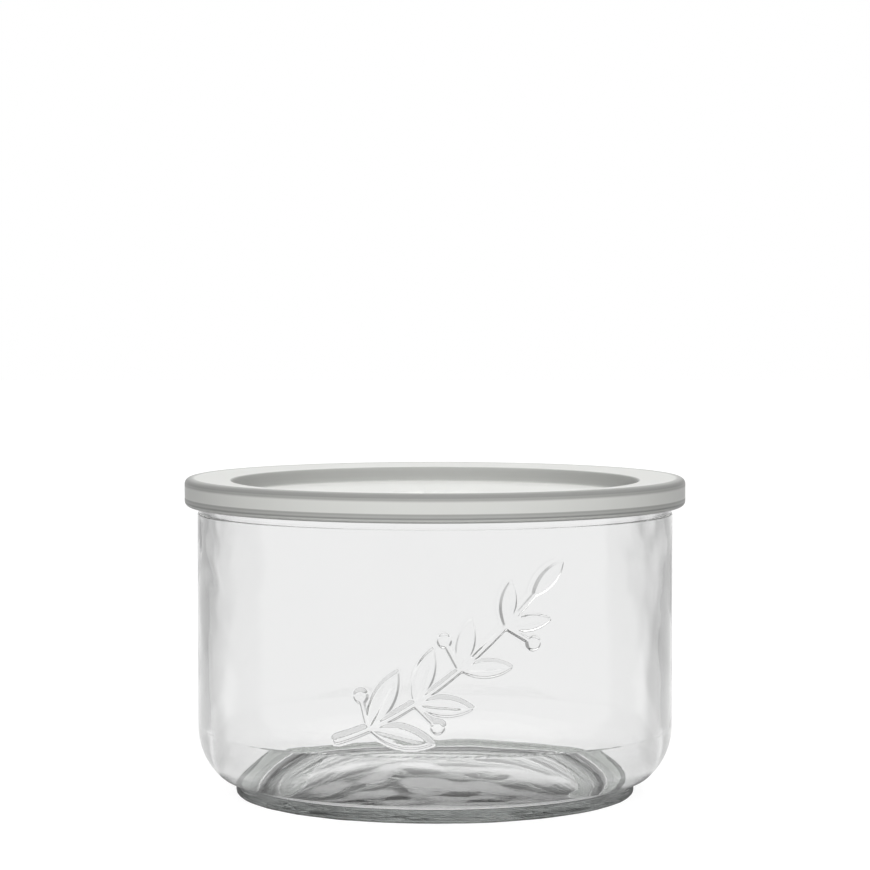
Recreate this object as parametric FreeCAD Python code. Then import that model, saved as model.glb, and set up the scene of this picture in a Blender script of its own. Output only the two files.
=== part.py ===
import FreeCAD, Part
import math
import os

os.makedirs("parts", exist_ok=True)

# A low, round glass storage jar with a press-on plastic lid. Millimetres, +Z up,
# origin at the centre of the jar's foot, the sprig relief facing -Y.

# ---- jar, outside ----
body_radius = 59.9        # upright wall, outside
rim_height = 78.2         # top of the rim, where the lid rests
corner_width = 13.5       # curved lower corner, measured inwards
corner_height = 15.0      # half height of the oval that the corner follows
step_inset = 6.8          # where the curved corner ends, inside the body radius
foot_inset = 9.6          # foot ring's side, inside the body radius
foot_height = 3.8         # foot ring's own upright side
foot_edge = 1.0           # rounding where the foot meets the table
step_rise = 0.3           # the step above the foot slopes up by this much
bearing_width = 3.6       # flat ring that the jar stands on
punt_height = 0.6         # hollow under the base
punt_flat = 12.0          # radius of the flat middle of that hollow
bead_drop = 1.4           # top of the snap bead, below the rim
bead_height = 2.2
bead_out = 1.0            # the bead stands this far outside the body radius
neck_height = 3.5         # groove under the bead, which takes the lid's lip
neck_depth = 0.7
ledge_rounding = 0.3      # edge and corner of the ledge where the groove starts

# ---- jar, inside ----
wall = 3.0                # glass thickness of the upright wall
floor_height = 3.4        # inside floor, above the table
hollow_width = 9.5        # curved inside corner, measured inwards
rim_rounding = 1.1        # the rim's two top edges

# ---- sprig relief on the front of the jar ----
relief_height = 0.7       # it stands off the wall by this much
relief_root = 0.6         # and its solids reach this far into the wall
sprig_half_width = 23.0   # the stem's two ends, left and right of the middle
sprig_low_gap = 4.0       # stem's low end, above the curved corner
sprig_high_gap = 16.0     # stem's high end, below the neck
sprig_bow = 9.0           # control point of the stem's curve, below its chord
stem_width = 1.9
stem_tip = 0.9            # the stem narrows to this width
leaf_pairs = 4
first_pair = 0.16         # places of the first and last pair along the stem
last_pair = 0.86
leaf_length = 15.5
leaf_shrink = 4.5         # the last pair is this much shorter than the first
leaf_slimness = 3.0       # length of a leaf, for a width of 1
leaf_angle = 38.0         # between a leaf and the stem
berry_angle = 78.0        # between a berry's stalk and the stem
berry_radius = 1.6
stalk_length = 7.8
stalk_width = 1.0

# ---- lid ----
skirt_wall = 1.85         # from the bead's clearance out to the lid's side
skirt_rounding = 1.4      # the skirt's lower outer edge
shoulder_rounding = 1.5   # the lid's upper outer edge
bead_clearance = 0.35     # between the snap bead and the skirt
lip_clearance = 0.5       # between the body radius and the snap lip
lip_gap = 0.6             # the lip's top, below the snap bead
lip_height = 1.2          # from the lip's top down to the skirt's lower edge
lip_ramp = 0.8            # slope above the lip
ring_thickness = 1.7      # top ring, over the rim
ring_fall = 0.7           # the ring slopes down by this much towards the recess
recess_clearance = 0.5    # round the foot of a second jar stacked on the lid
recess_flare = 0.5        # the recess is this much wider at its top
recess_rounding = 0.9     # where the recess wall meets its floor
ring_rounding = 0.4       # where the ring turns down into the recess
lid_wall = 1.3            # recess wall and floor

# ---- rosette in the middle of the lid ----
rosette_height = 0.5
rosette_root = 0.4        # its solids reach this far into the lid's floor
petals = 8
petal_inner = 4.6
petal_outer = 15.0
petal_width = 5.0
button_radius = 2.6

# ---- worked out from the sizes above ----
foot_radius = body_radius - foot_inset
step_radius = body_radius - step_inset
step_height = foot_height + step_rise
corner_middle = body_radius - corner_width
corner_end = math.degrees(math.acos((step_radius - corner_middle) / corner_width))
corner_top = step_height + corner_height * math.sin(math.radians(corner_end))
neck_radius = body_radius - neck_depth
bore_radius = body_radius - wall
hollow_middle = bore_radius - hollow_width
bead_top = rim_height - bead_drop
neck_top = bead_top - bead_height
neck_bottom = neck_top - neck_height

skirt_inner = body_radius + bead_out + bead_clearance
lid_radius = skirt_inner + skirt_wall
lip_radius = body_radius + lip_clearance
lip_top = neck_top - lip_gap
skirt_bottom = lip_top - lip_height
lid_height = rim_height + ring_thickness
recess_top = lid_height - ring_fall
recess_radius = foot_radius + recess_clearance
recess_mouth = recess_radius + recess_flare
recess_floor = recess_top - foot_height      # so a stacked foot stands on it


def at(r, z):
    return FreeCAD.Vector(r, 0, z)


def on_oval(centre, half_r, half_z, angle):
    """Point of an upright oval; the angle is from +X, in degrees."""
    a = math.radians(angle)
    return (centre[0] + half_r * math.cos(a), centre[1] + half_z * math.sin(a))


class Outline:
    """A closed outline in the XZ plane, drawn point by point as (radius, height)."""

    def __init__(self, r, z):
        self.start = self.here = (r, z)
        self.edges = []

    def add(self, curve, r, z):
        self.edges.append(curve.toShape())
        self.here = (r, z)

    def line(self, r, z):
        self.add(Part.LineSegment(at(*self.here), at(r, z)), r, z)

    def arc(self, middle, r, z):
        self.add(Part.Arc(at(*self.here), at(*middle), at(r, z)), r, z)

    def quarter(self, r, z, centre):
        """Quarter of an oval round the centre, from here to (r, z)."""
        share = math.sqrt(0.5)
        middle = [c + share * (a - c + b - c) for a, b, c in zip(self.here, (r, z), centre)]
        self.arc(middle, r, z)

    def oval(self, centre, half_r, half_z, first, last):
        """Part of an upright oval, from angle first to angle last."""
        middle = on_oval(centre, half_r, half_z, (first + last) / 2)
        self.arc(middle, *on_oval(centre, half_r, half_z, last))

    def revolved(self):
        self.line(*self.start)
        face = Part.Face(Part.Wire(self.edges))
        return face.revolve(FreeCAD.Vector(0, 0, 0), FreeCAD.Vector(0, 0, 1), 360)


def plain_jar():
    o = Outline(0, punt_height)
    # hollow base, flat ring, foot and the step above it
    bearing_inner = foot_radius - foot_edge - bearing_width
    o.line(punt_flat, punt_height)
    o.oval((punt_flat, 0), bearing_inner - punt_flat, punt_height, 90, 0)
    o.line(foot_radius - foot_edge, 0)
    o.quarter(foot_radius, foot_edge, (foot_radius - foot_edge, foot_edge))
    o.line(foot_radius, foot_height)
    o.line(step_radius, step_height)
    # curved corner and upright wall
    o.oval((corner_middle, corner_top), corner_width, corner_height, -corner_end, 0)
    # ledge, neck groove, snap bead and rim
    o.line(body_radius, neck_bottom - ledge_rounding)
    edge = body_radius - ledge_rounding
    o.quarter(edge, neck_bottom, (edge, neck_bottom - ledge_rounding))
    o.line(neck_radius + ledge_rounding, neck_bottom)
    turn = neck_bottom + ledge_rounding
    o.quarter(neck_radius, turn, (neck_radius + ledge_rounding, turn))
    o.line(neck_radius, neck_top)
    o.line(body_radius, neck_top)
    o.arc((body_radius + bead_out, (neck_top + bead_top) / 2), body_radius, bead_top)
    low = rim_height - rim_rounding
    o.line(body_radius, low)
    o.quarter(body_radius - rim_rounding, rim_height, (body_radius - rim_rounding, low))
    o.line(bore_radius + rim_rounding, rim_height)
    o.quarter(bore_radius, low, (bore_radius + rim_rounding, low))
    # bore, curved inside corner and floor
    o.line(bore_radius, corner_top)
    o.oval((hollow_middle, corner_top), hollow_width, corner_top - floor_height, 0, -90)
    o.line(0, floor_height)
    return o.revolved()


def flat_face(edges):
    return Part.Face(Part.Wire(edges))


def band(poles, width, end_width, place):
    """Strip along a Bezier curve, narrowing from width to end_width."""
    sides = []
    for side in (-1, 1):
        moved = []
        for i, (u, v) in enumerate(poles):
            before, after = poles[max(i - 1, 0)], poles[min(i + 1, len(poles) - 1)]
            along = (after[0] - before[0], after[1] - before[1])
            share = i / (len(poles) - 1)
            half = side * (width + (end_width - width) * share) / 2 / math.hypot(*along)
            moved.append(place(u - along[1] * half, v + along[0] * half))
        sides.append(moved)
    curves = []
    for side in sides:
        curve = Part.BezierCurve()
        curve.setPoles(side)
        curves.append(curve.toShape())
    low = Part.LineSegment(sides[0][0], sides[1][0]).toShape()
    high = Part.LineSegment(sides[0][-1], sides[1][-1]).toShape()
    return flat_face([curves[0], high, curves[1], low])


def leaf(base, angle, length, width, place):
    """Leaf between two arcs, from its base along the angle in degrees."""
    a = math.radians(angle)

    def spot(along, across):
        u = base[0] + along * math.cos(a) - across * math.sin(a)
        return place(u, base[1] + along * math.sin(a) + across * math.cos(a))

    root, tip = spot(0, 0), spot(length, 0)
    left = Part.Arc(root, spot(length / 2, width / 2), tip).toShape()
    right = Part.Arc(tip, spot(length / 2, -width / 2), root).toShape()
    return flat_face([left, right])


def disc(centre, radius, normal):
    return flat_face([Part.Circle(centre, normal, radius).toShape()])


def bezier_spot(poles, t):
    """Place and direction in degrees on a three-point Bezier curve."""
    (ax, az), (bx, bz), (cx, cz) = poles
    s = 1 - t
    spot = (s * s * ax + 2 * s * t * bx + t * t * cx, s * s * az + 2 * s * t * bz + t * t * cz)
    dx, dz = s * (bx - ax) + t * (cx - bx), s * (bz - az) + t * (cz - bz)
    return spot, math.degrees(math.atan2(dz, dx))


def sprig_faces(place):
    """Outlines of stem, leaves and berries, as flat faces in front of the jar."""
    low, high = corner_top + sprig_low_gap, neck_bottom - sprig_high_gap
    stem = [(-sprig_half_width, low), (0, (low + high) / 2 - sprig_bow), (sprig_half_width, high)]
    faces = [band(stem, stem_width, stem_tip, place)]
    for i in range(leaf_pairs):
        share = i / (leaf_pairs - 1)
        length = leaf_length - leaf_shrink * share
        node, along = bezier_spot(stem, first_pair + (last_pair - first_pair) * share)
        for side in (-1, 1):
            angle = along + side * leaf_angle
            faces.append(leaf(node, angle, length, length / leaf_slimness, place))
        side = 1 if i % 2 == 0 else -1
        turn = math.radians(along + side * berry_angle)
        berry = (node[0] + stalk_length * math.cos(turn), node[1] + stalk_length * math.sin(turn))
        faces.append(band([node, berry], stalk_width, stalk_width, place))
        faces.append(disc(place(*berry), berry_radius, FreeCAD.Vector(0, 1, 0)))
    tip, along = bezier_spot(stem, 1)
    length = leaf_length - leaf_shrink
    faces.append(leaf(tip, along, length, length / leaf_slimness, place))
    return faces


def jar():
    front = body_radius + 2 * relief_height
    tall = neck_bottom - corner_top
    outer = Part.makeCylinder(body_radius + relief_height, tall, at(0, corner_top))
    inner = Part.makeCylinder(body_radius - relief_root, tall, at(0, corner_top))
    skin = outer.cut(inner)
    faces = sprig_faces(lambda x, z: FreeCAD.Vector(x, -front, z))
    flat = faces[0].fuse(faces[1:]).removeSplitter()
    relief = flat.extrude(FreeCAD.Vector(0, front, 0)).common(skin)
    return plain_jar().fuse(relief).removeSplitter()


def plain_lid():
    o = Outline(0, recess_floor - lid_wall)
    # underside: recess floor and wall, then the flat ring that rests on the rim
    low = recess_floor - lid_wall
    turn = recess_rounding + lid_wall
    o.line(recess_radius + lid_wall - turn, low)
    o.quarter(recess_radius + lid_wall, low + turn, (recess_radius + lid_wall - turn, low + turn))
    o.line(recess_mouth + lid_wall, rim_height)
    o.line(skirt_inner, rim_height)
    # inside of the skirt, with its snap lip
    o.line(skirt_inner, lip_top + lip_ramp)
    o.line(lip_radius, lip_top)
    o.line(lip_radius, skirt_bottom)
    o.line(lid_radius - skirt_rounding, skirt_bottom)
    # outside: skirt, shoulder, top ring and recess
    turn = skirt_bottom + skirt_rounding
    o.quarter(lid_radius, turn, (lid_radius - skirt_rounding, turn))
    turn = lid_height - shoulder_rounding
    o.line(lid_radius, turn)
    o.quarter(lid_radius - shoulder_rounding, lid_height, (lid_radius - shoulder_rounding, turn))
    o.line(recess_mouth + ring_rounding, recess_top)
    turn = recess_top - ring_rounding
    o.quarter(recess_mouth, turn, (recess_mouth + ring_rounding, turn))
    turn = recess_floor + recess_rounding
    o.line(recess_radius, turn)
    o.quarter(recess_radius - recess_rounding, recess_floor,
              (recess_radius - recess_rounding, turn))
    o.line(0, recess_floor)
    return o.revolved()


def lid():
    def place(x, y):
        return FreeCAD.Vector(x, y, recess_floor - rosette_root)

    rise = FreeCAD.Vector(0, 0, rosette_root + rosette_height)
    faces = [disc(place(0, 0), button_radius, FreeCAD.Vector(0, 0, 1))]
    for i in range(petals):
        turn = 360 * i / petals
        a = math.radians(turn)
        base = (petal_inner * math.cos(a), petal_inner * math.sin(a))
        faces.append(leaf(base, turn, petal_outer - petal_inner, petal_width, place))
    return plain_lid().fuse([face.extrude(rise) for face in faces]).removeSplitter()


for name, make in (("glass_jar", jar), ("snap_lid", lid)):
    shape = make()
    shape.exportStep("parts/" + name + ".step")
    box = shape.BoundBox
    print(name, "solids", len(shape.Solids), "valid", shape.isValid(),
          "volume cm3", round(shape.Volume / 1000, 2),
          "z", round(box.ZMin, 3), round(box.ZMax, 3),
          "x", round(box.XMin, 2), round(box.XMax, 2))
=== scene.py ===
# Low round glass storage jar with a frosted press-on lid, on a pale floor in soft light.
import math

import bpy
import numpy as np
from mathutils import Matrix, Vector, noise


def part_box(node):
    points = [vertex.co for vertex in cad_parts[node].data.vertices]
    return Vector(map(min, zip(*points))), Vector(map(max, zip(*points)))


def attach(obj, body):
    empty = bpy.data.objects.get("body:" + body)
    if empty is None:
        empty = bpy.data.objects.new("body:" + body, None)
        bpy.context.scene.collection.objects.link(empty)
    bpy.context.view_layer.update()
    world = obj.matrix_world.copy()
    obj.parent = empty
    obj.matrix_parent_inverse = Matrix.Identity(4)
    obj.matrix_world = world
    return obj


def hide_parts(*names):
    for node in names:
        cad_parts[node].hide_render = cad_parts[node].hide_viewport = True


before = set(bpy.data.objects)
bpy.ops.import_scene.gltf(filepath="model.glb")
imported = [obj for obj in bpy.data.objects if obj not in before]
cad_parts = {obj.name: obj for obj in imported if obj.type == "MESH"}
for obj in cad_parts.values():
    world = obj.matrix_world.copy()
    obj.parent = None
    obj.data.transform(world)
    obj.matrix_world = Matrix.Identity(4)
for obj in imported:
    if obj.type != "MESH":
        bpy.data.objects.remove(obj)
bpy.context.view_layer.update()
mm = 0.001
hair = 0.1 * mm  # heights nearer than this count as one
jarLow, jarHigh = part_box("glass_jar")
lidLow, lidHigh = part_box("snap_lid")
print("frame loaded, jar", jarLow, jarHigh)


# outlines are lists of (radius, height), with the solid on their left; each part has "count" steps and
# leaves its last point out
def run(start, end, count):
    steps = [i / count for i in range(count)]
    return [(start[0] + (end[0] - start[0]) * s, start[1] + (end[1] - start[1]) * s) for s in steps]


def bend(start, corner, end, count):
    # quarter of an oval between two legs that meet in the corner
    points = []
    for i in range(count):
        a = math.pi / 2 * i / count
        s, c = 1 - math.sin(a), 1 - math.cos(a)
        points.append(tuple(k + (p - k) * s + (q - k) * c for p, k, q in zip(start, corner, end)))
    return points


def oval(centre, halfR, halfZ, first, last, count):
    # first and last are in degrees, from the outward direction up
    points = []
    for i in range(count):
        a = math.radians(first + (last - first) * i / count)
        points.append((centre[0] + halfR * math.cos(a), centre[1] + halfZ * math.sin(a)))
    return points


def evenAngles(count):
    return [2 * math.pi * i / count for i in range(count)]


def frontAngles(halfWindow, fineStep, coarseCount):
    # fine columns round the front (-Y), coarser ones over the rest of the turn
    fine = int(2 * halfWindow / fineStep)
    front = -math.pi / 2
    angles = [front - halfWindow + 2 * halfWindow * i / fine for i in range(fine)]
    rest = 2 * math.pi - 2 * halfWindow
    angles += [front + halfWindow + rest * i / coarseCount for i in range(coarseCount)]
    return angles


def outlineNormals(outline):
    steps = np.gradient(np.array(outline), axis=0)
    normals = np.stack([steps[:, 1], -steps[:, 0]], axis=1)
    return normals / np.linalg.norm(normals, axis=1)[:, None]


def turnedBand(mesh, outline, angles, offset=None):
    # a ring of points for each place on the outline, and quads between the rings
    verts, faces = mesh
    normals = outlineNormals(outline)
    angles = np.array(angles)
    rings = []
    for (r, z), (nr, nz) in zip(outline, normals):
        push = offset(r, z, angles) if offset else 0
        radii, heights = r + nr * push, z + nz * push + 0 * angles
        first = len(verts)
        xs, ys = radii * np.cos(angles), radii * np.sin(angles)
        verts += list(zip((xs + 0 * angles).tolist(), (ys + 0 * angles).tolist(), heights.tolist()))
        rings.append(list(range(first, first + len(angles))))
    for low, high in zip(rings, rings[1:]):
        count = len(low)
        for j in range(count):
            k = (j + 1) % count
            faces.append((low[j], low[k], high[k], high[j]))
    return rings[0], rings[-1]


def cap(mesh, ring, z, upwards):
    verts, faces = mesh
    verts.append((0, 0, z))
    tip = len(verts) - 1
    for j in range(len(ring)):
        a, b = ring[j], ring[(j + 1) % len(ring)]
        faces.append((a, b, tip) if upwards else (b, a, tip))


def joinRings(mesh, low, high):
    # triangles between two rings with different columns, both counted from the same start
    verts, faces = mesh

    def turns(ring):
        start = math.atan2(verts[ring[0]][1], verts[ring[0]][0])
        return [(math.atan2(verts[i][1], verts[i][0]) - start) % (2 * math.pi) for i in ring]

    lowTurns, highTurns = turns(low) + [2 * math.pi], turns(high) + [2 * math.pi]
    a = b = 0
    while a < len(low) or b < len(high):
        i, k = low[a % len(low)], high[b % len(high)]
        if b >= len(high) or (a < len(low) and lowTurns[a + 1] <= highTurns[b + 1]):
            faces.append((i, low[(a + 1) % len(low)], k))
            a += 1
        else:
            faces.append((i, high[(b + 1) % len(high)], k))
            b += 1


def finished(name, mesh):
    # a smooth object in the scene
    verts, faces = mesh
    data = bpy.data.meshes.new(name)
    data.from_pydata(verts, [], faces)
    data.validate()
    data.polygons.foreach_set("use_smooth", [True] * len(data.polygons))
    data.update()
    piece = bpy.data.objects.new(name, data)
    bpy.context.scene.collection.objects.link(piece)
    data.calc_loop_triangles()
    print(name, len(data.vertices), "points", len(data.loop_triangles), "triangles")
    return piece


# raised ornament: every shape gives its depth inside its own edge
def leafDepth(x, y, base, angle, length, width):
    dx, dy = x - base[0], y - base[1]
    along = dx * math.cos(angle) + dy * math.sin(angle) - length / 2
    across = np.abs(dy * math.cos(angle) - dx * math.sin(angle))
    radius = (length ** 2 / 4 + width ** 2 / 4) / width
    return radius - np.hypot(along, across + radius - width / 2)


def veinDepth(x, y, base, angle, length, width):
    # deepest along the middle of the leaf, fading out towards its two ends
    dx, dy = x - base[0], y - base[1]
    along = dx * math.cos(angle) + dy * math.sin(angle)
    across = np.abs(dy * math.cos(angle) - dx * math.sin(angle))
    fadeIn = np.clip(along / (0.2 * length), 0, 1)
    fadeOut = np.clip((0.86 * length - along) / (0.15 * length), 0, 1)
    return fadeIn * fadeOut * np.exp(-(across / width) ** 2)


def curveSpot(poles, t):
    # place and direction on a curve bent by its middle pole, at the share t of its length
    (ax, az), (bx, bz), (cx, cz) = poles
    s = 1 - t
    spot = (s * s * ax + 2 * s * t * bx + t * t * cx, s * s * az + 2 * s * t * bz + t * t * cz)
    dx, dz = s * (bx - ax) + t * (cx - bx), s * (bz - az) + t * (cz - bz)
    return spot, math.atan2(dz, dx)


def bandDepth(x, y, spots, widths):
    # a stroke of round dabs
    depth = np.full(np.shape(x), -1.0)
    for (px, py), width in zip(spots, widths):
        depth = np.maximum(depth, width / 2 - np.hypot(x - px, y - py))
    return depth


def softStep(depth, ramp):
    s = np.clip(depth / ramp + 0.5, 0, 1)
    return s * s * (3 - 2 * s)


jar = {
    "beadOut": 1.0 * mm,
    "wall": 3.0 * mm,
    "cornerWidth": 13.5 * mm,
    "cornerHeight": 15.0 * mm,
    "stepInset": 6.8 * mm,
    "footInset": 9.6 * mm,
    "footHeight": 3.8 * mm,
    "footEdge": 1.0 * mm,
    "stepRise": 0.3 * mm,
    "stepRounding": 0.7 * mm,
    "bearingWidth": 3.6 * mm,
    "puntHeight": 0.6 * mm,
    "puntFlat": 12.0 * mm,
    "beadDrop": 1.4 * mm,
    "beadHeight": 2.2 * mm,
    "neckHeight": 3.5 * mm,
    "neckDepth": 0.7 * mm,
    "ledgeRounding": 0.3 * mm,
    "floorHeight": 3.4 * mm,
    "hollowWidth": 9.5 * mm,
    "rimRounding": 1.1 * mm,
    "poleRadius": 0.8 * mm,  # the smallest ring, round the axis
    "columns": 128,
    "frontHalf": math.radians(31),  # the front, with finer columns for the sprig
    "frontStep": math.radians(0.31),
    "restColumns": 60,
    "wallRows": 160,
    "cornerCut": 5,  # degrees of the corner's oval that the step's rounding takes
    "waveOut": 0.03 * mm,  # how uneven the pressed glass is, and over what lengths
    "waveOutSize": 22 * mm,
    "waveIn": 0.10 * mm,
    "waveTop": 0.25 * mm,
    "waveFloor": 0.11 * mm,
    "waveInSize": 18 * mm,
    "fineShare": 0.5,
    "fineSize": 7 * mm,
    "fineRise": 8 * mm,
    "waveUnder": 0.20 * mm,
    "waveUnderSize": 9 * mm,
    "underFade": 6 * mm,
    "streak": 0.09 * mm,
    "streakLength": 5 * mm,
    "streakHeight": 0.35 * mm,
    "footFade": 3 * mm,
    "rimFade": (8 * mm, 2 * mm),
}
waveSeeds = {"outside": 3.1, "under": 5.5, "inside": 7.7, "fine": 1.3, "streaks": 0.0}

sprig = {
    "height": 0.7 * mm,
    "ramp": 0.9 * mm,
    "halfWidth": 23.0 * mm,
    "lowGap": 4.0 * mm,
    "highGap": 16.0 * mm,
    "bow": 9.0 * mm,
    "stemWidth": 1.9 * mm,
    "stemTip": 0.9 * mm,
    "pairs": 4,
    "firstPair": 0.16,
    "lastPair": 0.86,
    "leafLength": 15.5 * mm,
    "leafShrink": 4.5 * mm,
    "slimness": 3.0,  # length to width
    "leafAngle": math.radians(38),
    "berryAngle": math.radians(78),
    "berryRadius": 1.6 * mm,
    "stalkLength": 7.8 * mm,
    "stalkWidth": 1.0 * mm,
    "veinWidth": 0.35 * mm,
    "veinDepth": 0.35,  # share of the height
    "stemDabs": 121,
    "stalkDabs": 24,
}


def sprigHeight(x, z, low, high):
    # height of the relief over the wall, at places seen from the front
    s = sprig
    stem = [(-s["halfWidth"], low + s["lowGap"]),
            (0, (low + s["lowGap"] + high - s["highGap"]) / 2 - s["bow"]),
            (s["halfWidth"], high - s["highGap"])]
    steps = [i / (s["stemDabs"] - 1) for i in range(s["stemDabs"])]
    spots = [curveSpot(stem, t)[0] for t in steps]
    widths = [s["stemWidth"] + (s["stemTip"] - s["stemWidth"]) * t for t in steps]
    shapes = [bandDepth(x, z, spots, widths)]
    veins = np.zeros(np.shape(x))
    leaves = []
    for i in range(s["pairs"]):
        share = i / (s["pairs"] - 1)
        length = s["leafLength"] - s["leafShrink"] * share
        node, along = curveSpot(stem, s["firstPair"] + (s["lastPair"] - s["firstPair"]) * share)
        leaves += [(node, along + side * s["leafAngle"], length) for side in (-1, 1)]
        side = 1 if i % 2 == 0 else -1
        turn = along + side * s["berryAngle"]
        path = [(node[0] + d * math.cos(turn), node[1] + d * math.sin(turn))
                for d in np.linspace(0, s["stalkLength"], s["stalkDabs"])]
        shapes.append(bandDepth(x, z, path, [s["stalkWidth"]] * len(path)))
        shapes.append(bandDepth(x, z, [path[-1]], [2 * s["berryRadius"]]))
    tip, along = curveSpot(stem, 1)
    leaves.append((tip, along, s["leafLength"] - s["leafShrink"]))
    for base, angle, length in leaves:
        shapes.append(leafDepth(x, z, base, angle, length, length / s["slimness"]))
        veins = np.maximum(veins, veinDepth(x, z, base, angle, length, s["veinWidth"]))
    depth = np.maximum.reduce(shapes)
    return s["height"] * softStep(depth, s["ramp"]) * (1 - s["veinDepth"] * veins)


def waves(kind, xs, ys, z, size, sizeUp=None):
    seed, sizeUp = waveSeeds[kind], sizeUp or size
    return np.array([noise.noise(Vector((x / size + seed, y / size, z / sizeUp))) for x, y in zip(xs, ys)])


def makeJar():
    j = jar
    body = jarHigh.x - j["beadOut"]
    rim = jarHigh.z
    foot, step = body - j["footInset"], body - j["stepInset"]
    stepHeight = j["footHeight"] + j["stepRise"]
    cornerMiddle = body - j["cornerWidth"]
    cornerEnd = math.acos((step - cornerMiddle) / j["cornerWidth"])
    cornerTop = stepHeight + j["cornerHeight"] * math.sin(cornerEnd)
    bore = body - j["wall"]
    hollow = bore - j["hollowWidth"]
    beadTop = rim - j["beadDrop"]
    neckTop = beadTop - j["beadHeight"]
    neckLow = neckTop - j["neckHeight"]
    soft = j["stepRounding"]
    bearing = foot - j["footEdge"] - j["bearingWidth"]
    mesh = ([], [])

    # base, foot, step and curved corner
    low = run((j["poleRadius"], j["puntHeight"]), (j["puntFlat"], j["puntHeight"]), 6)
    low += oval((j["puntFlat"], 0), bearing - j["puntFlat"], j["puntHeight"], 90, 0, 50)
    low += run((bearing, 0), (foot - j["footEdge"], 0), 4)
    low += bend((foot - j["footEdge"], 0), (foot, 0), (foot, j["footEdge"]), 8)
    low += run((foot, j["footEdge"]), (foot, j["footHeight"] - soft), 14)
    stepStart = (foot + soft, j["footHeight"] + 0.1 * j["stepRise"])
    low += bend((foot, j["footHeight"] - soft), (foot, j["footHeight"]), stepStart, 5)
    corner = oval((cornerMiddle, cornerTop), j["cornerWidth"], j["cornerHeight"],
                  -math.degrees(cornerEnd) + j["cornerCut"], 0, 80)
    low += bend(stepStart, (step, stepHeight), corner[0], 8)
    low += corner
    low.append((body, cornerTop))

    def outside(r, z, angles):
        x, y = r * np.cos(angles), r * np.sin(angles)
        bumps = waves("outside", x, y, z, j["waveOutSize"])
        keep = min(max((z - j["footEdge"]) / j["footFade"], 0), 1)
        # flat streaks round the side of the foot
        onFoot = r > foot - j["footEdge"] and z < j["footHeight"] - soft
        streaks = waves("streaks", x, y, z, j["streakLength"], j["streakHeight"]) if onFoot else 0
        # uneven underside, as it left the mould
        inPunt = z < j["puntHeight"] + hair and r < bearing
        sunk = j["waveUnder"] * min((bearing - r) / j["underFade"], 1) if inPunt else 0
        under = waves("under", x, y, 0, j["waveUnderSize"]) if inPunt else 0
        return j["waveOut"] * keep * bumps + j["streak"] * streaks + sunk * under

    # both kinds of ring start at the same angle
    front = frontAngles(j["frontHalf"], j["frontStep"], j["restColumns"])
    even = [a + front[0] for a in evenAngles(j["columns"])]
    firstRing, lowEnd = turnedBand(mesh, low, even, outside)
    cap(mesh, firstRing, j["puntHeight"], False)

    # upright wall with the relief
    def wallOffset(r, z, angles):
        x, y = r * np.cos(angles), r * np.sin(angles)
        raised = sprigHeight(x, z + 0 * x, cornerTop, neckLow)
        return outside(r, z, angles) + np.where(y < 0, raised, 0)

    wallTop = neckLow - j["ledgeRounding"]
    gap = (wallTop - cornerTop) / (j["wallRows"] + 1)
    wallLine = run((body, cornerTop + gap), (body, wallTop), j["wallRows"])
    wallLow, wallHigh = turnedBand(mesh, wallLine, front, wallOffset)
    joinRings(mesh, lowEnd, wallLow)

    # ledge, neck, bead, rim, bore and floor
    neck, ledge = body - j["neckDepth"], j["ledgeRounding"]
    top = bend((body, neckLow - ledge), (body, neckLow), (body - ledge, neckLow), 5)
    top += bend((neck + ledge, neckLow), (neck, neckLow), (neck, neckLow + ledge), 5)
    top += run((neck, neckLow + ledge), (neck, neckTop - ledge), 6)
    top += bend((neck, neckTop - ledge), (neck, neckTop), (body, neckTop), 4)
    top += oval((body, (neckTop + beadTop) / 2), j["beadOut"], j["beadHeight"] / 2, -90, 90, 14)
    rimSoft = j["rimRounding"]
    top += bend((body, rim - rimSoft), (body, rim), (body - rimSoft, rim), 8)
    top += run((body - rimSoft, rim), (bore + rimSoft, rim), 3)
    top += bend((bore + rimSoft, rim), (bore, rim), (bore, rim - rimSoft), 8)
    top += run((bore, rim - rimSoft), (bore, cornerTop), 40)
    top += oval((hollow, cornerTop), j["hollowWidth"], cornerTop - j["floorHeight"], 0, -90, 110)
    top += run((hollow, j["floorHeight"]), (j["poleRadius"], j["floorHeight"]), 24)
    top.append((j["poleRadius"], j["floorHeight"]))

    def inside(r, z, angles):
        x, y = r * np.cos(angles), r * np.sin(angles)
        if r > body - 0.9 * j["wall"]:
            return 0 * x
        fine = np.interp(z, [cornerTop, cornerTop + j["fineRise"]], [0, j["fineShare"]])
        bumps = waves("inside", x, y, z, j["waveInSize"]) + fine * waves("fine", x, y, z, j["fineSize"])
        # calm floor, and the liveliest glass high on the wall, where it set first
        fadeStart, fadeEnd = (rim - below for below in j["rimFade"])
        size = np.interp(z, [j["floorHeight"], cornerTop, 0.6 * rim, 0.75 * rim, fadeStart, fadeEnd],
                         [j["waveFloor"], j["waveIn"], j["waveIn"], j["waveTop"], j["waveTop"], 0])
        return size * bumps

    topStart, lastRing = turnedBand(mesh, top, even, inside)
    joinRings(mesh, wallHigh, topStart)
    cap(mesh, lastRing, j["floorHeight"], True)
    return finished("glassJar", mesh)


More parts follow.
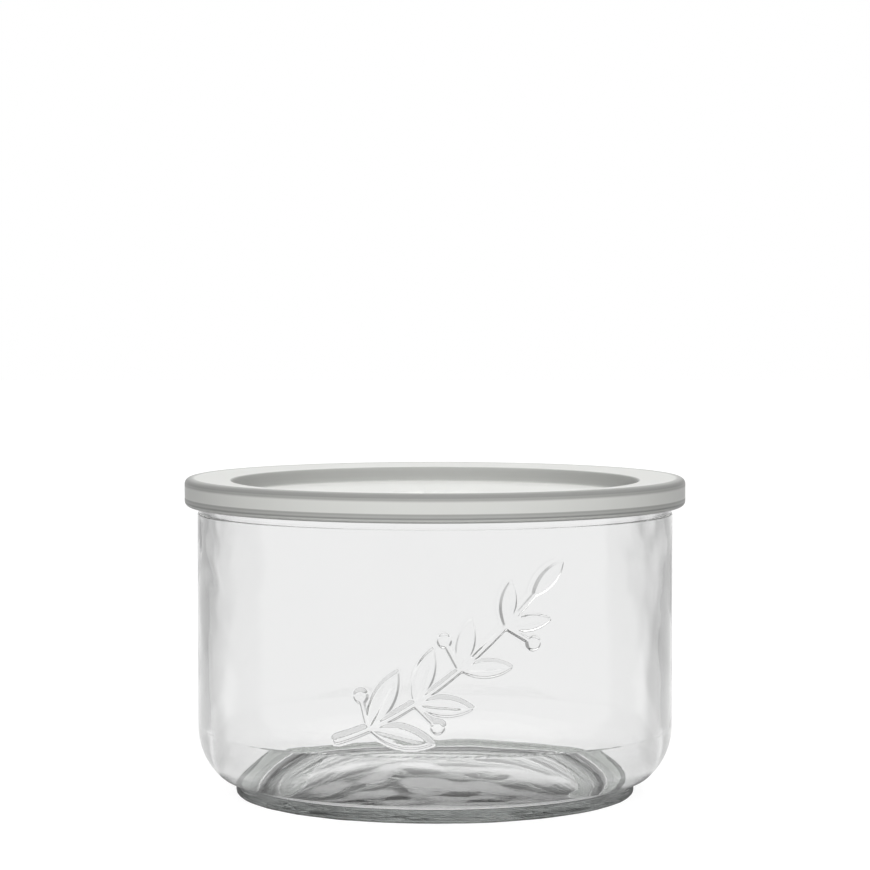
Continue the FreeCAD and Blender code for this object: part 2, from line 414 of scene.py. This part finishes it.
lid = {
    "skirtWall": 1.85 * mm,
    "lipInset": 0.85 * mm,
    "lipHeight": 1.2 * mm,
    "lipRamp": 0.8 * mm,
    "skirtRounding": 1.4 * mm,
    "shoulder": 1.5 * mm,
    "ringThickness": 1.7 * mm,
    "ringFall": 0.7 * mm,
    "recessClearance": 0.5 * mm,
    "recessFlare": 0.5 * mm,
    "recessRounding": 0.9 * mm,
    "ringRounding": 0.5 * mm,
    "wall": 1.3 * mm,
    "hiddenRounding": 0.3 * mm,
    "restGap": 0.03 * mm,  # keeps the plastic's underside just clear of the glass rim
    "poleRadius": 0.8 * mm,
    "columns": 240,
}

rosette = {
    "height": 0.45 * mm,
    "ramp": 0.9 * mm,
    "petals": 8,
    "inner": 4.6 * mm,
    "outer": 15.0 * mm,
    "width": 5.0 * mm,
    "button": 2.6 * mm,
    "margin": 2.0 * mm,
}


def rosetteHeight(r, angles):
    q = rosette
    sector = 2 * math.pi / q["petals"]
    folded = (angles + sector / 2) % sector - sector / 2
    x, y = r * np.cos(folded), r * np.sin(folded)
    petal = leafDepth(x, y, (q["inner"], 0), 0, q["outer"] - q["inner"], q["width"])
    depth = np.maximum(petal, q["button"] - r)
    return q["height"] * softStep(depth, q["ramp"])


def makeLid():
    k = lid
    outer, top, bottom = lidHigh.x, lidHigh.z, lidLow.z
    under = top - k["ringThickness"] + k["restGap"]
    skirtIn = outer - k["skirtWall"]
    lip = skirtIn - k["lipInset"]
    foot = jarHigh.x - jar["beadOut"] - jar["footInset"]
    recess = foot + k["recessClearance"]
    mouth = recess + k["recessFlare"]
    ringIn = top - k["ringFall"]
    floor = ringIn - jar["footHeight"]
    low = floor - k["wall"]
    soft = k["hiddenRounding"]
    cup, cupMouth = recess + k["wall"], mouth + k["wall"]
    cupTurn = k["recessRounding"] + k["wall"]
    lipTop, lipMiddle = bottom + k["lipHeight"], bottom + k["lipHeight"] / 2

    # hidden side: under the sunk middle, under the top ring, inside the skirt
    line = run((k["poleRadius"], low), (cup - cupTurn, low), 14)
    line += bend((cup - cupTurn, low), (cup, low), (cup, low + cupTurn), 8)
    line += run((cup, low + cupTurn), (cupMouth, under - soft), 3)
    line += bend((cupMouth, under - soft), (cupMouth, under), (cupMouth + soft, under), 3)
    line += run((cupMouth + soft, under), (skirtIn - soft, under), 6)
    line += bend((skirtIn - soft, under), (skirtIn, under), (skirtIn, under - soft), 3)
    line += run((skirtIn, under - soft), (skirtIn, lipTop + k["lipRamp"]), 5)
    line += bend((skirtIn, lipTop + k["lipRamp"]), (lip, lipTop), (lip, lipMiddle), 6)
    line += bend((lip, lipMiddle), (lip, bottom), (lip + soft, bottom), 4)
    hiddenRings = len(line)

    # skirt, shoulder, top ring, recess and its floor
    skirtTurn, shoulderTurn = bottom + k["skirtRounding"], top - k["shoulder"]
    line += run((lip + soft, bottom), (outer - k["skirtRounding"], bottom), 2)
    line += bend((outer - k["skirtRounding"], bottom), (outer, bottom), (outer, skirtTurn), 12)
    line += run((outer, skirtTurn), (outer, shoulderTurn), 8)
    line += bend((outer, shoulderTurn), (outer, top), (outer - k["shoulder"], top), 12)
    edge, fillet = k["ringRounding"], k["recessRounding"]
    line += run((outer - k["shoulder"], top), (mouth + edge, ringIn), 8)
    line += bend((mouth + edge, ringIn), (mouth, ringIn), (mouth, ringIn - edge), 6)
    line += run((mouth, ringIn - edge), (recess, floor + fillet), 6)
    line += bend((recess, floor + fillet), (recess, floor), (recess - fillet, floor), 8)
    middle = rosette["outer"] + rosette["margin"]
    line += run((recess - fillet, floor), (middle, floor), 12)
    line += run((middle, floor), (k["poleRadius"], floor), 46)
    line.append((k["poleRadius"], floor))

    def rosetteOffset(r, z, angles):
        onFloor = z > floor - hair and r <= middle
        return rosetteHeight(r, angles) if onFloor else 0 * angles

    mesh = ([], [])
    first, last = turnedBand(mesh, line, evenAngles(k["columns"]), rosetteOffset)
    cap(mesh, first, low, False)
    cap(mesh, last, floor + rosette["height"], True)
    piece = finished("frostedLid", mesh)
    # marks the hidden side, which gets a painted glow standing in for the light that reaches it through
    # the plastic
    hidden = piece.data.attributes.new("hiddenSide", "FLOAT", "POINT")
    count = hiddenRings * k["columns"]
    marks = [1.0] * count + [0.0] * (len(mesh[0]) - count)
    marks[len(line) * k["columns"]] = 1.0  # the lower tip on the axis
    hidden.data.foreach_set("value", marks)
    return piece


def newMaterial(name):
    material = bpy.data.materials.new(name)
    material.use_nodes = True
    material.node_tree.nodes.clear()
    return material, material.node_tree.nodes, material.node_tree.links


def mathNode(nodes, links, operation, first, second, clamp=False):
    node = nodes.new("ShaderNodeMath")
    node.operation = operation
    node.use_clamp = clamp
    for socket, value in zip(node.inputs, (first, second)):
        if isinstance(value, (int, float)):
            socket.default_value = value
        else:
            links.new(value, socket)
    return node.outputs[0]


def rampNode(nodes, links, value, low, high, lowValue=0.0, highValue=1.0):
    # soft step from lowValue to highValue
    node = nodes.new("ShaderNodeMapRange")
    node.interpolation_type = "SMOOTHSTEP"
    node.inputs["From Min"].default_value = low
    node.inputs["From Max"].default_value = high
    node.inputs["To Min"].default_value = lowValue
    node.inputs["To Max"].default_value = highValue
    links.new(value, node.inputs["Value"])
    return node.outputs[0]


def rippleGroup():
    # gentle unevenness of a moulded surface: broad waves with a share of fine ones
    group = bpy.data.node_groups.new("softRipple", "ShaderNodeTree")
    for label in ("Broad Scale", "Fine Scale", "Fine Share"):
        group.interface.new_socket(label, in_out="INPUT", socket_type="NodeSocketFloat")
    group.interface.new_socket("Height", in_out="OUTPUT", socket_type="NodeSocketFloat")
    nodes, links = group.nodes, group.links
    given, out = nodes.new("NodeGroupInput"), nodes.new("NodeGroupOutput")
    place = nodes.new("ShaderNodeTexCoord")
    broad, fine = nodes.new("ShaderNodeTexNoise"), nodes.new("ShaderNodeTexNoise")
    mix = nodes.new("ShaderNodeMix")
    links.new(place.outputs["Object"], broad.inputs["Vector"])
    links.new(place.outputs["Object"], fine.inputs["Vector"])
    links.new(given.outputs["Broad Scale"], broad.inputs["Scale"])
    links.new(given.outputs["Fine Scale"], fine.inputs["Scale"])
    links.new(given.outputs["Fine Share"], mix.inputs["Factor"])
    links.new(broad.outputs["Fac"], mix.inputs["A"])
    links.new(fine.outputs["Fac"], mix.inputs["B"])
    links.new(mix.outputs["Result"], out.inputs["Height"])
    return group


def rippleNormal(nodes, links, ripple, finish):
    height, bump = nodes.new("ShaderNodeGroup"), nodes.new("ShaderNodeBump")
    height.node_tree = ripple
    height.inputs["Broad Scale"].default_value = finish["rippleBroad"]
    height.inputs["Fine Scale"].default_value = finish["rippleFine"]
    height.inputs["Fine Share"].default_value = finish["rippleShare"]
    bump.inputs["Strength"].default_value = finish["bumpStrength"]
    bump.inputs["Distance"].default_value = finish["bumpDistance"]
    links.new(height.outputs["Height"], bump.inputs["Height"])
    return bump.outputs["Normal"]


glassFinish = {
    "tint": (1, 1, 1, 1),
    "ior": 1.52,
    "absorbColor": (0.50, 0.52, 0.51, 1),  # grey-green where the light goes far inside the glass
    "absorbDensity": 23.0,
    "rippleBroad": 60.0,
    "rippleFine": 600.0,
    "rippleShare": 0.2,
    "bumpStrength": 0.15,
    "bumpDistance": 0.05 * mm,
}


def clearGlass(ripple):
    g = glassFinish
    material, nodes, links = newMaterial("clearPressedGlass")
    out, glass = nodes.new("ShaderNodeOutputMaterial"), nodes.new("ShaderNodeBsdfPrincipled")
    glass.inputs["Base Color"].default_value = g["tint"]
    glass.inputs["Roughness"].default_value = 0.0
    glass.inputs["IOR"].default_value = g["ior"]
    glass.inputs["Transmission Weight"].default_value = 1.0
    soak = nodes.new("ShaderNodeVolumeAbsorption")
    soak.inputs["Color"].default_value = g["absorbColor"]
    soak.inputs["Density"].default_value = g["absorbDensity"]
    links.new(rippleNormal(nodes, links, ripple, g), glass.inputs["Normal"])
    links.new(glass.outputs["BSDF"], out.inputs["Surface"])
    links.new(soak.outputs["Volume"], out.inputs["Volume"])
    return material


# the tones are (millimetres, grey) by height on the lid's side and by radius on its top: painted light and
# shade, lighter where thin places of the plastic let light through and darker where thick ones don't
lidFinish = {
    "tint": (1.0, 1.008, 0.975, 1),
    "sideLightAndShade": ((72.8, 0.72), (73.55, 0.68), (73.7, 0.48), (73.8, 0.31), (74.05, 0.32), (74.2, 0.45),
                  (74.5, 0.45), (74.7, 0.38), (74.95, 0.42), (75.15, 0.69), (77.7, 0.70), (78.05, 0.56),
                  (78.2, 0.42), (78.65, 0.40), (78.8, 0.31), (79.5, 0.30), (79.9, 0.40)),
    "topLightAndShade": ((0, 0.81), (50.0, 0.81), (50.75, 0.36), (51.1, 0.34), (51.5, 0.38), (51.8, 0.71),
                 (60.5, 0.72), (61.2, 0.46)),
    "sideFrom": 61.2,  # millimetres from the axis, where top turns into side
    "sideTo": 61.6,
    "roughness": 0.33,
    # painted glow of the hidden side
    "paintedGlowThrough": (0.90, 0.90, 0.89, 1),
    "gloss": 0.1,
    "softness": 0.3,
    "softReach": 2.0 * mm,
    "rippleBroad": 60.0,
    "rippleFine": 600.0,
    "rippleShare": 0.2,
    "bumpStrength": 0.2,
    "bumpDistance": 0.04 * mm,
}


def toneRamp(nodes, links, value, tones):
    # the new colour ramp already has a first and a last stop
    low, high = tones[0][0], tones[-1][0]
    place = nodes.new("ShaderNodeMapRange")
    place.inputs["From Min"].default_value = low * mm
    place.inputs["From Max"].default_value = high * mm
    links.new(value, place.inputs["Value"])
    ramp = nodes.new("ShaderNodeValToRGB")
    stops = ramp.color_ramp.elements
    for spot, tone in tones:
        at = (spot - low) / (high - low)
        stop = stops.new(at) if 0 < at < 1 else stops[0 if at <= 0 else len(stops) - 1]
        stop.color = (tone, tone, tone, 1)
    links.new(place.outputs[0], ramp.inputs["Fac"])
    return ramp.outputs["Color"]


def frostedPlastic(ripple):
    f = lidFinish
    material, nodes, links = newMaterial("frostedPlastic")
    out, plastic = nodes.new("ShaderNodeOutputMaterial"), nodes.new("ShaderNodeBsdfPrincipled")
    place, parts = nodes.new("ShaderNodeTexCoord"), nodes.new("ShaderNodeSeparateXYZ")
    links.new(place.outputs["Object"], parts.inputs[0])
    flat, away = nodes.new("ShaderNodeCombineXYZ"), nodes.new("ShaderNodeVectorMath")
    away.operation = "LENGTH"
    links.new(parts.outputs["X"], flat.inputs["X"])
    links.new(parts.outputs["Y"], flat.inputs["Y"])
    links.new(flat.outputs[0], away.inputs[0])
    radius = away.outputs["Value"]
    onSide = rampNode(nodes, links, radius, f["sideFrom"] * mm, f["sideTo"] * mm)
    # painted light and shade of the place, times the tint
    mix, tint = nodes.new("ShaderNodeMix"), nodes.new("ShaderNodeMix")
    mix.data_type = tint.data_type = "RGBA"
    tint.blend_type = "MULTIPLY"
    tint.inputs["Factor"].default_value = 1
    links.new(onSide, mix.inputs["Factor"])
    links.new(toneRamp(nodes, links, radius, f["topLightAndShade"]), mix.inputs["A"])
    links.new(toneRamp(nodes, links, parts.outputs["Z"], f["sideLightAndShade"]), mix.inputs["B"])
    links.new(mix.outputs["Result"], tint.inputs["A"])
    tint.inputs["B"].default_value = f["tint"]
    links.new(tint.outputs["Result"], plastic.inputs["Base Color"])
    # painted glow on the hidden side, standing in for light that comes through the plastic
    hidden, glow = nodes.new("ShaderNodeAttribute"), nodes.new("ShaderNodeMix")
    hidden.attribute_name = "hiddenSide"
    glow.data_type = "RGBA"
    links.new(hidden.outputs["Fac"], glow.inputs["Factor"])
    glow.inputs["A"].default_value = (0, 0, 0, 1)
    glow.inputs["B"].default_value = f["paintedGlowThrough"]
    links.new(glow.outputs["Result"], plastic.inputs["Emission Color"])
    plastic.inputs["Emission Strength"].default_value = 1.0
    plastic.inputs["Roughness"].default_value = f["roughness"]
    plastic.inputs["Specular IOR Level"].default_value = f["gloss"]
    plastic.inputs["Subsurface Weight"].default_value = f["softness"]
    plastic.inputs["Subsurface Radius"].default_value = (1, 1, 1)
    plastic.inputs["Subsurface Scale"].default_value = f["softReach"]
    links.new(rippleNormal(nodes, links, ripple, f), plastic.inputs["Normal"])
    links.new(plastic.outputs["BSDF"], out.inputs["Surface"])
    return material


# what clear glass is seen against; all of it stays where it is, whatever side the jar is seen from
stage = {
    "floorSize": 6.0,
    "floorDrop": 0.1 * mm,
    "floorColor": (0.2, 0.2, 0.2, 1),
    "floorGlow": 0.88,  # with the lit floor it makes white
    "floorBent": 0.91,
    "underRadius": 46 * mm,  # floor inside the foot, with painted shade at the front and painted light at the back
    "underSoft": 3 * mm,
    "underFront": 12 * mm,
    "underBack": 32 * mm,
    "underDark": 0.78,
    "underLight": 1.05,
    "ringFrom": 47 * mm,  # ring of floor under the foot and the curved corner, with painted shade
    "ringFull": 50 * mm,
    "ringEnd": 57 * mm,
    "ringGone": 62 * mm,
    "ringDepth": 0.8,
    "worldLight": (0.05, 0.3, 0.35),  # from the two ends, from front and back, from above
    "worldThroughGlass": 1.0,
    "worldBent": 0.91,
    "sectorSlope": 0.21,  # dark sectors: sideways to forward, then how dark they are near and far
    "sectorFull": 0.38,
    "sectorStart": 48 * mm,
    "sectorDepth": 0.65,
    "sectorNear": 100 * mm,
    "sectorFar": 600 * mm,
    "sectorNearShare": 0.6,
    "bandFrom": 0.118,  # dim band at the rear: its lower edge, its upper edge and its two sides
    "bandFull": 0.132,
    "bandEnd": 0.185,
    "bandGone": 0.22,
    "bandDepth": 0.95,
    "rearFrom": 0.55,
    "rearFull": 0.8,
}


def rayKinds(nodes, links):
    # camera rays, rays that light matt surfaces through the glass, rays that gloss or glass sends to the
    # set, and those of them that glass sends
    path = nodes.new("ShaderNodeLightPath").outputs
    turned = mathNode(nodes, links, "ADD", path["Is Glossy Ray"], path["Is Transmission Ray"], True)
    direct = mathNode(nodes, links, "LESS_THAN", path["Diffuse Depth"], 0.5)
    bent = mathNode(nodes, links, "MULTIPLY", turned, direct)
    through = mathNode(nodes, links, "SUBTRACT", turned, bent)
    return path["Is Camera Ray"], through, bent, path["Is Transmission Ray"]


def sectorGroup():
    # dark sectors in the two rear corners of the set, which give clear glass its dark edges
    group = bpy.data.node_groups.new("darkSectors", "ShaderNodeTree")
    group.interface.new_socket("Direction", in_out="INPUT", socket_type="NodeSocketVector")
    group.interface.new_socket("Start", in_out="INPUT", socket_type="NodeSocketFloat")
    group.interface.new_socket("Mask", in_out="OUTPUT", socket_type="NodeSocketFloat")
    nodes, links = group.nodes, group.links
    given, out = nodes.new("NodeGroupInput"), nodes.new("NodeGroupOutput")
    signed, parts = nodes.new("ShaderNodeSeparateXYZ"), nodes.new("ShaderNodeSeparateXYZ")
    size = nodes.new("ShaderNodeVectorMath")
    size.operation = "ABSOLUTE"
    links.new(given.outputs["Direction"], signed.inputs[0])
    links.new(given.outputs["Direction"], size.inputs[0])
    links.new(size.outputs[0], parts.inputs[0])
    behind = mathNode(nodes, links, "GREATER_THAN", signed.outputs["Y"], 0)
    ahead = mathNode(nodes, links, "MAXIMUM", parts.outputs["X"], parts.outputs["Y"])
    aside = mathNode(nodes, links, "MINIMUM", parts.outputs["X"], parts.outputs["Y"])
    aside = mathNode(nodes, links, "SUBTRACT", aside, given.outputs["Start"])
    slope = mathNode(nodes, links, "DIVIDE", aside, ahead)
    mask = rampNode(nodes, links, slope, stage["sectorSlope"], stage["sectorFull"])
    links.new(mathNode(nodes, links, "MULTIPLY", mask, behind), out.inputs["Mask"])
    return group


def sectorShare(nodes, links, sectors, direction, start, depth, refracted):
    # 1 where the set is bright, less in its dark sectors, which only refracted rays find
    mask = nodes.new("ShaderNodeGroup")
    mask.node_tree = sectors
    links.new(direction, mask.inputs["Direction"])
    mask.inputs["Start"].default_value = start
    dark = mathNode(nodes, links, "MULTIPLY", mask.outputs["Mask"], depth)
    dark = mathNode(nodes, links, "MULTIPLY", dark, refracted)
    return mathNode(nodes, links, "SUBTRACT", 1, dark)


def makeFloor(sectors):
    size = stage["floorSize"] / 2
    drop = -stage["floorDrop"]
    corners = [(-size, -size, drop), (size, -size, drop), (size, size, drop), (-size, size, drop)]
    floor = finished("paleFloor", (corners, [(0, 1, 2, 3)]))
    material, nodes, links = newMaterial("paleFloor")
    out, matt = nodes.new("ShaderNodeOutputMaterial"), nodes.new("ShaderNodeBsdfDiffuse")
    matt.inputs["Color"].default_value = stage["floorColor"]
    camera, through, bent, refracted = rayKinds(nodes, links)
    glow, both = nodes.new("ShaderNodeEmission"), nodes.new("ShaderNodeAddShader")
    seen = mathNode(nodes, links, "ADD", camera, through)
    links.new(mathNode(nodes, links, "MULTIPLY", seen, stage["floorGlow"]), glow.inputs["Strength"])
    links.new(matt.outputs[0], both.inputs[0])
    links.new(glow.outputs[0], both.inputs[1])
    # what gloss and glass find: an even floor, dark sectors further out, painted shade and light on the
    # place under the jar
    place, length = nodes.new("ShaderNodeTexCoord"), nodes.new("ShaderNodeVectorMath")
    parts = nodes.new("ShaderNodeSeparateXYZ")
    length.operation = "LENGTH"
    links.new(place.outputs["Object"], length.inputs[0])
    links.new(place.outputs["Object"], parts.inputs[0])
    away = length.outputs["Value"]
    far = rampNode(nodes, links, away, stage["sectorNear"], stage["sectorFar"],
                   stage["sectorDepth"] * stage["sectorNearShare"], stage["sectorDepth"])
    spot = place.outputs["Object"]
    bright = sectorShare(nodes, links, sectors, spot, stage["sectorStart"], far, refracted)
    under = rampNode(nodes, links, away, stage["underRadius"], stage["underRadius"] + stage["underSoft"],
                     1, 0)
    shade = rampNode(nodes, links, parts.outputs["Y"], stage["underFront"], stage["underBack"],
                     stage["underDark"] - 1, stage["underLight"] - 1)
    shade = mathNode(nodes, links, "ADD", mathNode(nodes, links, "MULTIPLY", under, shade), 1)
    bright = mathNode(nodes, links, "MULTIPLY", bright, shade)
    # painted shade on the ring of floor that the curved corner hangs over
    inside = rampNode(nodes, links, away, stage["ringFrom"], stage["ringFull"], 1, 0)
    outside = rampNode(nodes, links, away, stage["ringEnd"], stage["ringGone"], 1 - stage["ringDepth"], 1)
    bright = mathNode(nodes, links, "MULTIPLY", bright, mathNode(nodes, links, "MAXIMUM", inside, outside))
    found, choice = nodes.new("ShaderNodeEmission"), nodes.new("ShaderNodeMixShader")
    links.new(mathNode(nodes, links, "MULTIPLY", bright, stage["floorBent"]), found.inputs["Color"])
    links.new(bent, choice.inputs["Fac"])
    links.new(both.outputs[0], choice.inputs[1])
    links.new(found.outputs[0], choice.inputs[2])
    links.new(choice.outputs[0], out.inputs["Surface"])
    floor.data.materials.append(material)


def makeWorld(sectors):
    world = bpy.data.worlds.new("softWhite")
    bpy.context.scene.world = world
    world.use_nodes = True
    nodes, links = world.node_tree.nodes, world.node_tree.links
    nodes.clear()
    out, light = nodes.new("ShaderNodeOutputWorld"), nodes.new("ShaderNodeBackground")
    camera, through, bent, refracted = rayKinds(nodes, links)
    place, parts = nodes.new("ShaderNodeTexCoord"), nodes.new("ShaderNodeSeparateXYZ")
    direction = place.outputs["Generated"]
    links.new(direction, parts.inputs[0])
    # light on matt surfaces, weaker from the two ends than from front, back and top
    squares, lit = nodes.new("ShaderNodeVectorMath"), nodes.new("ShaderNodeVectorMath")
    squares.operation, lit.operation = "MULTIPLY", "DOT_PRODUCT"
    links.new(direction, squares.inputs[0])
    links.new(direction, squares.inputs[1])
    links.new(squares.outputs[0], lit.inputs[0])
    lit.inputs[1].default_value = stage["worldLight"]
    strength = lit.outputs["Value"]  # as a grey
    # bent rays find dark sectors, and a dimmer band at the rear between the horizon and the light above
    bright = sectorShare(nodes, links, sectors, direction, 0, stage["sectorDepth"], refracted)
    band = rampNode(nodes, links, parts.outputs["Z"], stage["bandFrom"], stage["bandFull"])
    below = rampNode(nodes, links, parts.outputs["Z"], stage["bandEnd"], stage["bandGone"], 1, 0)
    rear = rampNode(nodes, links, parts.outputs["Y"], stage["rearFrom"], stage["rearFull"])
    for share in (below, rear, stage["bandDepth"]):
        band = mathNode(nodes, links, "MULTIPLY", band, share)
    bright = mathNode(nodes, links, "MULTIPLY", bright, mathNode(nodes, links, "SUBTRACT", 1, band))
    bright = mathNode(nodes, links, "MULTIPLY", bright, stage["worldBent"])
    for kind, value in ((camera, 1.0), (through, stage["worldThroughGlass"]), (bent, bright)):
        choice = nodes.new("ShaderNodeMix")
        links.new(kind, choice.inputs["Factor"])
        links.new(strength, choice.inputs["A"])
        if isinstance(value, float):
            choice.inputs["B"].default_value = value
        else:
            links.new(value, choice.inputs["B"])
        strength = choice.outputs["Result"]
    links.new(strength, light.inputs["Color"])
    links.new(light.outputs[0], out.inputs["Surface"])


# soft suns, so that the whole floor gets the same light
lamps = {
    "above": {"toSun": (0.1, 0.25, 1.0), "spread": math.radians(45), "strength": 1.1},
    "front": {"toSun": (0.0, -1.0, 0.35), "spread": math.radians(30), "strength": 2.5},
    "back": {"toSun": (0.0, 1.0, 0.35), "spread": math.radians(40), "strength": 1.6},
}


def makeLamp(name, toSun, spread, strength):
    data = bpy.data.lights.new(name, "SUN")
    data.angle = spread
    data.energy = strength
    lamp = bpy.data.objects.new(name, data)
    lamp.rotation_euler = Vector(toSun).to_track_quat("Z", "Y").to_euler()
    lamp.visible_glossy = False
    lamp.visible_transmission = False
    bpy.context.scene.collection.objects.link(lamp)


view = {
    "place": (0, -0.8164, 0.13246),
    "downTilt": math.radians(2.9496),
    "lens": 133.95,
    "sensor": 36,
}


def makeCamera():
    data = bpy.data.cameras.new("camera")
    data.lens = view["lens"]
    data.sensor_width = view["sensor"]
    camera = bpy.data.objects.new("camera", data)
    camera.location = view["place"]
    camera.rotation_euler = (math.pi / 2 - view["downTilt"], 0, 0)
    bpy.context.scene.collection.objects.link(camera)
    bpy.context.scene.camera = camera


ripple = rippleGroup()
glassJar = makeJar()
glassJar.data.materials.append(clearGlass(ripple))
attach(glassJar, "root")
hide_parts("glass_jar")
print("jar made")

frostedLid = makeLid()
frostedLid.data.materials.append(frostedPlastic(ripple))
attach(frostedLid, "root")
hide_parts("snap_lid")
print("lid made")

sectors = sectorGroup()
makeFloor(sectors)
makeWorld(sectors)
for name, values in lamps.items():
    makeLamp(name, **values)
makeCamera()
scene = bpy.context.scene
scene.view_settings.view_transform = "Standard"
scene.cycles.max_bounces = 32
scene.cycles.transmission_bounces = 32
scene.cycles.glossy_bounces = 16
print("stage, lamps and camera made")
